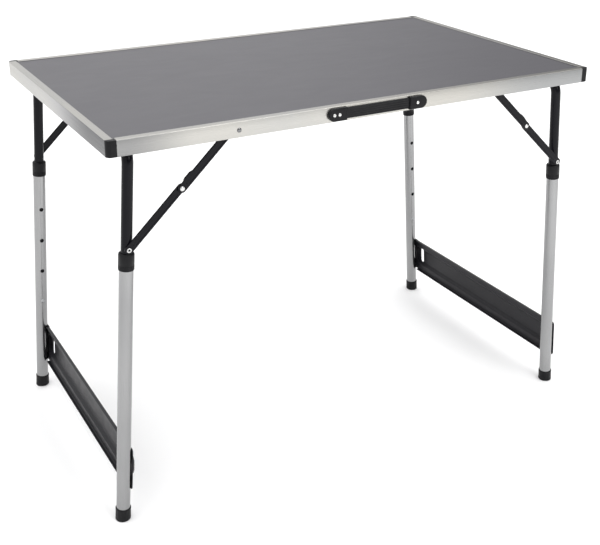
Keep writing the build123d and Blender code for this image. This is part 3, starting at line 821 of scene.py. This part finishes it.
def leg_rivets(side):
    """Blind rivets with rolled heads in the inner legs' outer walls that the lower links turn on."""
    node = f"{side}_leg_rivets"
    bm = bmesh.new()
    for low, high in islands(node):
        x, _, z = centre_of(low, high)
        out = 1 if low.y > 0 else -1
        link_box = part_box(f"{side}_{'rear' if out > 0 else 'front'}_lower_link")
        face = along_y(*link_box, out)[1] + out * 0.05 * MM
        root, tip = along_y(low, high, out)
        end = -abs(face - root)
        profile = hollow_head(RIVET_HEAD_R, abs(tip - face), RIVET_SHANK_R, -end - RIVET_TAIL)[:-1]
        tail_at = (RIVET_HEAD_R - RIVET_TAIL_ROUND, end + RIVET_TAIL_ROUND)
        profile += bow(tail_at, RIVET_TAIL_ROUND, 70, -90, 8) + [(0, end)]
        turned(bm, profile, axis_place((x, face, z), (0, out, 0)), 36)
    body = f"{side}_leg_frame"
    add_piece(node + "_rolled", bm, LOOKS["rivet_steel"], body, [node], 50)


def elbow_rivet(side, end):
    """Domed rivet at a brace's elbow, with the shoulder that the lower link turns on."""
    node = f"{side}_{end}_elbow_rivet"
    low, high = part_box(node)
    out = ENDS[end]
    link_low, link_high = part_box(f"{side}_{end}_upper_link")
    face = along_y(link_low, link_high, out)[1]
    root, tip = along_y(low, high, out)
    x, _, z = centre_of(low, high)
    thick = link_high.y - link_low.y
    deep = abs(face - root)
    shoulder = (high.x - low.x) / 2
    profile = domed_head(RIVET_HEAD_R, abs(tip - face), RIVET_SHANK_R, thick)[:-2]
    profile += [(RIVET_SHANK_R, -thick), (shoulder, -thick), (shoulder, -deep), (0, -deep)]
    bm = bmesh.new()
    turned(bm, profile, axis_place((x, face, z), (0, out, 0)), 36)
    body = f"{side}_{end}_upper_brace"
    add_piece(node + "_domed", bm, LOOKS["rivet_steel"], body, [node], 50)


def crossbar(side, place):
    """Pressed stretcher: a long rounded dish, turned-back hems and a slot near each leg."""
    node = f"{side}_crossbar"
    low, high = box_in(place, node)
    face = high.x - DISH_DEEP - SHEET / 2
    middle = centre_of(low, high)[2]
    half_tall = (high.z - low.z) / 2 - SHEET / 2
    reach = high.y
    leg_edge = -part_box(f"{side}_front_outer_tube")[1].y
    hem_reach = leg_edge - HEM_GAP
    past = reach - hem_reach
    half = [k * hem_reach / 60 for k in range(61)] + [hem_reach + k * past / 12 for k in range(13)]
    columns = sorted({sign * value for sign in (-1, 1) for value in half})

    def dish(y, z):
        """How far the sheet is pressed out at a place on it."""
        dy = abs(y) - (DISH_REACH - DISH_CORNER)
        dz = abs(z) - (DISH_HALF - DISH_CORNER)
        outside = math.hypot(max(dy, 0), max(dz, 0)) + min(max(dy, dz), 0)
        share = min(max((DISH_CORNER - outside) / DISH_WALL, 0), 1)
        return DISH_DEEP * share * share * (3 - 2 * share)

    hem_path = bow((-HEM_ROUND, half_tall - HEM_ROUND), HEM_ROUND, 90, 0, 6)
    upper = [(-HEM_DEEP, half_tall), (-HEM_DEEP / 2 - HEM_ROUND / 2, half_tall)] + hem_path
    straight = half_tall - HEM_ROUND
    plate = [(0.0, straight * (1 - 2 * k / PLATE_ROWS)) for k in range(1, PLATE_ROWS)]
    lower = [(x, -z) for x, z in upper[::-1]]
    bm = bmesh.new()
    rows = []
    for x, z in upper + plate + lower:
        row = []
        for y in columns:
            beyond = max(abs(y) - (reach - PLATE_CORNER), 0)
            near_edge = max(abs(z) - (half_tall - PLATE_CORNER), 0)
            limit = math.sqrt(max(PLATE_CORNER ** 2 - near_edge * near_edge, 0)) / PLATE_CORNER
            bent_y = math.copysign(abs(y) - beyond + beyond * limit, y)
            flat = abs(y) > hem_reach + 1e-6 and abs(z) > straight - 1e-6
            at_x = face + (0 if flat else x) + dish(bent_y, z)
            row.append(bm.verts.new(place @ Vector((at_x, bent_y, middle + z))))
        rows.append(row)
    bridge(bm, rows, around=False)
    past_hems = []
    for index, quad in enumerate(bm.faces):
        strip, column = divmod(index, len(columns) - 1)
        in_hem = strip < HEM_STRIPS or strip >= len(rows) - 1 - HEM_STRIPS
        beside_leg = min(abs(columns[column]), abs(columns[column + 1])) > hem_reach - 1e-6
        if in_hem and beside_leg:
            past_hems.append(quad)
    bmesh.ops.delete(bm, geom=past_hems, context="FACES")
    body = f"{side}_lower_legs"
    piece = add_piece(node + "_pressed", bm, LOOKS["charcoal_enamel"], body, [node])
    thick = piece.modifiers.new("sheet", "SOLIDIFY")
    thick.thickness = SHEET
    thick.offset = 0
    bpy.context.view_layer.update()
    bake_modifiers(piece, 45)
    corners = ((-1, -1), (1, -1), (1, 1), (-1, 1))
    for sign in (-1, 1):
        slot_y = sign * (leg_edge - SLOT_WIDE)
        outline = rounded([
            (slot_y + a * SLOT_WIDE / 2, middle + b * SLOT_TALL / 2, SLOT_CORNER) for a, b in corners
        ])
        slot = bmesh.new()
        ends = (face - 20 * MM, face + 20 * MM)
        extrude_outline(slot, outline, lambda y, z, x: place @ Vector((x, y, z)), *ends)
        cut(piece, slot)


# ---------------------------------------------------------------- braces


def link(side, end, part):
    """Pressed brace link: round ends, a shallow channel in each face; the upper one has a stop ear."""
    node = f"{side}_{end}_{part}_link"
    out = ENDS[end]
    inner, outer = along_y(*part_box(node), out)
    elbow = centre_of(*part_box(f"{side}_{end}_elbow_rivet"))
    if part == "upper":
        start, far = elbow, JOINTS[f"{side}_{end}_rail_pivot"]["pos_m"]
    else:
        start, far = JOINTS[f"{side}_{end}_leg_pivot"]["pos_m"], elbow
    start, far = Vector((start[0], 0, start[2])), Vector((far[0], 0, far[2]))
    along = (far - start).normalized()
    length = (far - start).length
    above = Vector((0, out, 0)).cross(along)
    ear_side = SIDES[side] * ENDS[end]

    def half_width(x, toward):
        """Half width on one side of the link; the ear swells one side of an upper link."""
        if part == "lower" or toward != ear_side or abs(x - EAR_AT) > EAR_HALF:
            return LINK_HALF
        into = max(abs(x - EAR_AT) - (EAR_HALF - EAR_CORNER), 0)
        bulge = math.sqrt(EAR_CORNER ** 2 - into ** 2) - EAR_CORNER
        return max(LINK_HALF, LINK_HALF + EAR_OUT[side] + bulge)

    stations = [k * length / 48 for k in range(49)]

    def outline(inset, from_x, to_x, half=None):
        """Loop round the link, or round its channel where half is given."""
        points = []
        for toward in (1, -1):
            ordered = stations if toward > 0 else stations[::-1]
            for x in ordered:
                at = from_x + (to_x - from_x) * x / length
                wide = half_width(x, toward) - inset if half is None else half
                points.append((at, toward * wide))
            end_x = to_x if toward > 0 else from_x
            size = LINK_HALF - inset if half is None else half
            turn = (90, -90) if toward > 0 else (270, 90)
            points += bow((end_x, 0), size, *turn, 14)[1:-1]
        return points

    def loop(points, y):
        """A loop's vertices, at one depth through the link."""
        return [bm.verts.new(start + along * u + above * v + Vector((0, y, 0))) for u, v in points]

    bm = bmesh.new()
    step = out * LINK_EDGE
    deep = out * CHANNEL_DEPTH
    whole = (0, length)
    channel = (CHANNEL_INSET, length - CHANNEL_INSET)
    rows = [
        loop(outline(0, *channel, CHANNEL_HALF - CHANNEL_SIDE), inner + deep),
        loop(outline(0, *channel, CHANNEL_HALF), inner),
        loop(outline(LINK_EDGE, *whole), inner),
        loop(outline(LINK_EDGE * 0.3, *whole), inner + step * 0.3),
        loop(outline(0, *whole), inner + step),
        loop(outline(0, *whole), outer - step),
        loop(outline(LINK_EDGE * 0.3, *whole), outer - step * 0.3),
        loop(outline(LINK_EDGE, *whole), outer),
        loop(outline(0, *channel, CHANNEL_HALF), outer),
        loop(outline(0, *channel, CHANNEL_HALF - CHANNEL_SIDE), outer - deep),
    ]
    bridge(bm, rows)
    bm.faces.new(rows[0])
    bm.faces.new(rows[-1])
    body = f"{side}_{end}_{part}_brace"
    add_piece(node + "_pressed", bm, LOOKS["black_enamel"], body, [node], 25)


# ---------------------------------------------------------------- what stays from the CAD

KEPT = {
    "table_panel": "grey_laminate",
    "_corner_cap": "black_plastic",
    "_pivot_plate": "zinc_steel",
    "_pivot_saddles": "black_plastic",
    "saddle_rivets": "rivet_steel",
    "rail_pivot_spacers": "zinc_steel",
    "_tube_glides": "black_plastic",
    "_snap_springs": "spring_steel",
    "_crossbar_rivets": "black_enamel",
    "_snap_button": "zinc_steel",
    "_outer_tube": "leg_aluminium",
}


def dress_cad_nodes():
    """Give every CAD node that stays its detailed material."""
    for name, node in frame["nodes"].items():
        for ending, look in KEPT.items():
            if name.endswith(ending):
                node.data.materials.clear()
                node.data.materials.append(LOOKS[look])


# ---------------------------------------------------------------- studio


def add_camera():
    """Camera to the front left of the table, a little above it."""
    sin_yaw, cos_yaw = math.sin(CAMERA_YAW), math.cos(CAMERA_YAW)
    sin_pitch, cos_pitch = math.sin(CAMERA_PITCH), math.cos(CAMERA_PITCH)
    forward = Vector((sin_yaw * cos_pitch, cos_yaw * cos_pitch, -sin_pitch))
    level = Vector((cos_yaw, -sin_yaw, 0))
    up = level.cross(forward)
    right = level * math.cos(CAMERA_ROLL) + up * math.sin(CAMERA_ROLL)
    up = right.cross(forward)
    data = bpy.data.cameras.new("camera")
    data.sensor_width = CAMERA_SENSOR
    data.lens = CAMERA_LENS
    data.shift_y = CAMERA_SHIFT_Y
    camera = bpy.data.objects.new("camera", data)
    bpy.context.scene.collection.objects.link(camera)
    turn = Matrix((right, up, -forward)).transposed().to_4x4()
    camera.matrix_world = Matrix.Translation(CAMERA_PLACE) @ turn
    bpy.context.scene.camera = camera


def add_floor():
    """Wide pale floor."""
    bm = bmesh.new()
    corners = [(-1, -1), (1, -1), (1, 1), (-1, 1)]
    bm.faces.new([bm.verts.new((FLOOR_HALF * x, FLOOR_HALF * y, 0)) for x, y in corners])
    mesh = bpy.data.meshes.new("floor")
    bm.to_mesh(mesh)
    bm.free()
    floor = bpy.data.objects.new("floor", mesh)
    bpy.context.scene.collection.objects.link(floor)
    look = Look("floor_paint", FLOOR_TONES[0], 0.9)
    look.colour(look.blend_colours(look.noise(2, detail=2), *FLOOR_TONES))
    look.shader.inputs["Specular IOR Level"].default_value = 0.1
    mesh.materials.append(look.material)


def add_key_light():
    """Square soft light in front of the table, aimed at the floor there."""
    data = bpy.data.lights.new("key", "AREA")
    data.shape = "SQUARE"
    data.size = KEY_SIZE
    data.energy = KEY_POWER
    light = bpy.data.objects.new("key", data)
    bpy.context.scene.collection.objects.link(light)
    light.location = KEY_PLACE
    aim = Vector(KEY_TARGET) - Vector(KEY_PLACE)
    light.rotation_euler = aim.to_track_quat("-Z", "Y").to_euler()


def add_world():
    """Pale surroundings: brightest overhead, dim low down towards the front and right."""
    world = bpy.data.worlds.new("studio")
    bpy.context.scene.world = world
    world.use_nodes = True
    nodes, links = world.node_tree.nodes, world.node_tree.links
    place = nodes.new("ShaderNodeTexCoord").outputs["Generated"]

    def toward(direction, span):
        """0 to 1 as the view turns toward a direction."""
        dot = nodes.new("ShaderNodeVectorMath")
        dot.operation = "DOT_PRODUCT"
        dot.inputs[1].default_value = direction
        links.new(place, dot.inputs[0])
        return smooth_ramp(nodes, links, dot.outputs["Value"], *span)

    level = mix_colours(nodes, links, toward(SKY_SIDE, SKY_SIDE_SPAN), SKY_DIM, SKY_LEVEL)
    sky = mix_colours(nodes, links, toward((0, 0, 1), SKY_HEIGHT_SPAN), level, SKY_TOP)
    links.new(sky, nodes["Background"].inputs["Color"])


def main():
    """Build every piece, then the studio around them."""
    dress_cad_nodes()
    for node in ("front_rail", "back_rail", "left_rail", "right_rail"):
        rail(node)
    handle_strap()
    handle_screws()
    rail_pivot_rivets()
    for side in SIDES:
        handle_cap(side)
        place = leg_place(side)
        frame_tube(side, place)
        leg_rivets(side)
        crossbar(side, place)
        for end in ENDS:
            collar(side, end, place)
            foot(side, end, place)
            elbow_rivet(side, end)
            link(side, end, "upper")
            link(side, end, "lower")
    add_camera()
    add_floor()
    add_world()
    add_key_light()
    bpy.context.scene.view_settings.view_transform = "Standard"


main()
